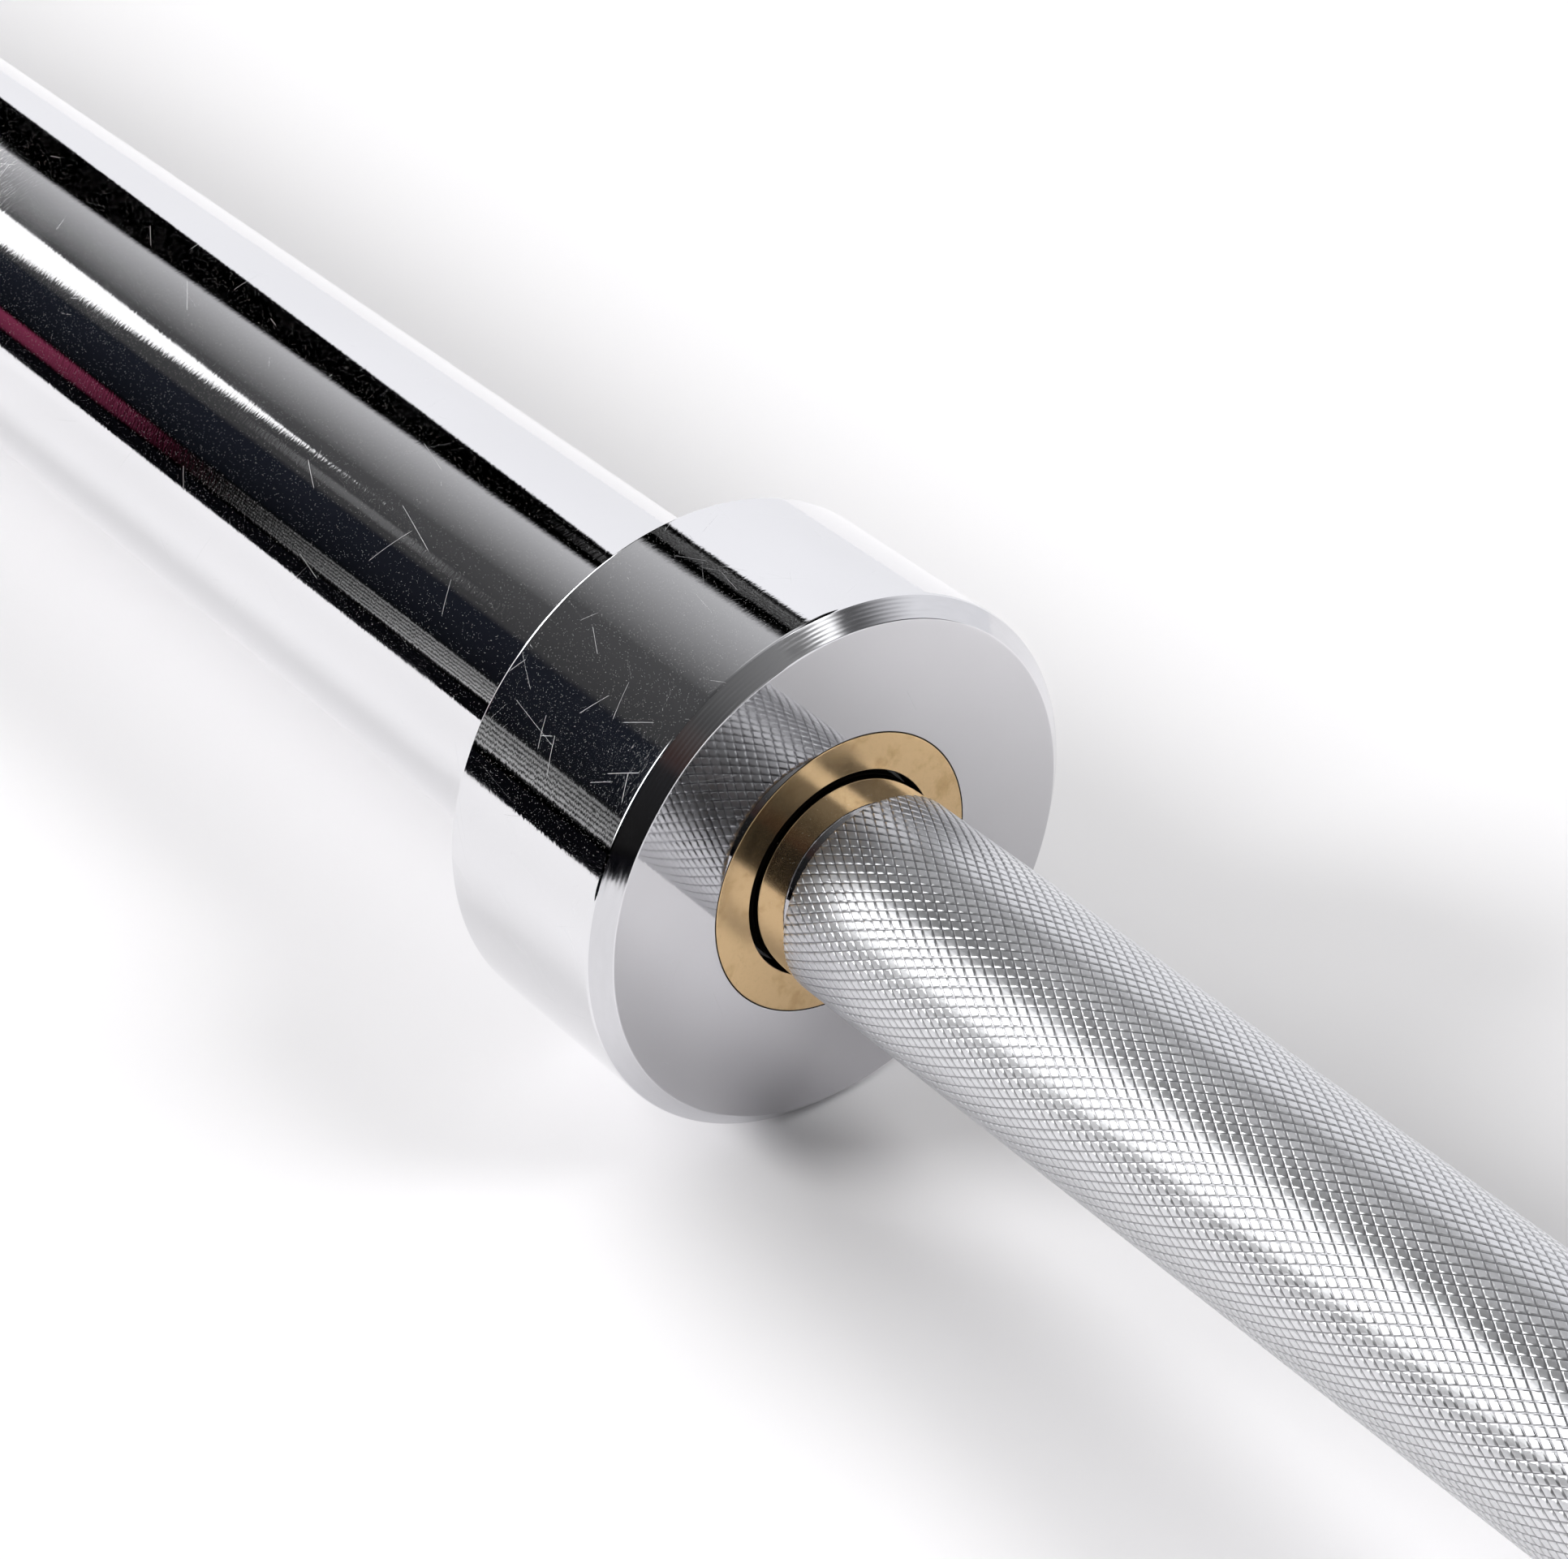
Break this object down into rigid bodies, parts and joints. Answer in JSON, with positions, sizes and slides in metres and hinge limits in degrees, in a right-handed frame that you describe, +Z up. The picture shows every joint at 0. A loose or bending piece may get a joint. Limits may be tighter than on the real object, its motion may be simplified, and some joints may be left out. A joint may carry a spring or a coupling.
{
  "type": "barbell",
  "caption": "Straight knurled barbell with revolving chrome sleeves, thick round collars and flush brass bushes.",
  "frame": {"origin": "middle of the shaft, on the bar's axis", "axes": "+X along the bar towards the right sleeve, +Z up, +Y across the bar; the picture shows the left sleeve"},
  "size_m": [2.2, 0.074, 0.074],
  "materials": {
    "shaft_chrome": "satin bright chrome, knurled",
    "sleeve_chrome": "polished chrome",
    "collar_chrome": "polished chrome, turned chamfer",
    "bush_brass": "turned brass",
    "washer_steel": "ground steel",
    "spring_steel": "oiled dark spring steel",
    "cap_chrome": "turned and chromed"
  },
  "bodies": {
    "shaft": {"shaft": "shaft_chrome", "left_inner_thrust_washer": "washer_steel", "right_inner_thrust_washer": "washer_steel", "left_outer_thrust_washer": "washer_steel", "right_outer_thrust_washer": "washer_steel", "left_shaft_snap_ring": "spring_steel", "right_shaft_snap_ring": "spring_steel"},
    "left_sleeve": {"left_sleeve_tube": "sleeve_chrome", "left_collar": "collar_chrome", "left_inner_bushing": "bush_brass", "left_outer_bushing": "bush_brass", "left_bushing_snap_ring": "spring_steel", "left_end_cap": "cap_chrome", "left_cap_snap_ring": "spring_steel"},
    "right_sleeve": {"right_sleeve_tube": "sleeve_chrome", "right_collar": "collar_chrome", "right_inner_bushing": "bush_brass", "right_outer_bushing": "bush_brass", "right_bushing_snap_ring": "spring_steel", "right_end_cap": "cap_chrome", "right_cap_snap_ring": "spring_steel"}
  },
  "joints": [
    {"name": "left_sleeve_spin", "type": "hinge", "parent": "shaft", "child": "left_sleeve", "pos_m": [-0.89, 0, 0], "axis": [-1, 0, 0], "continuous": true},
    {"name": "right_sleeve_spin", "type": "hinge", "parent": "shaft", "child": "right_sleeve", "pos_m": [0.89, 0, 0], "axis": [1, 0, 0], "continuous": true}
  ]
}
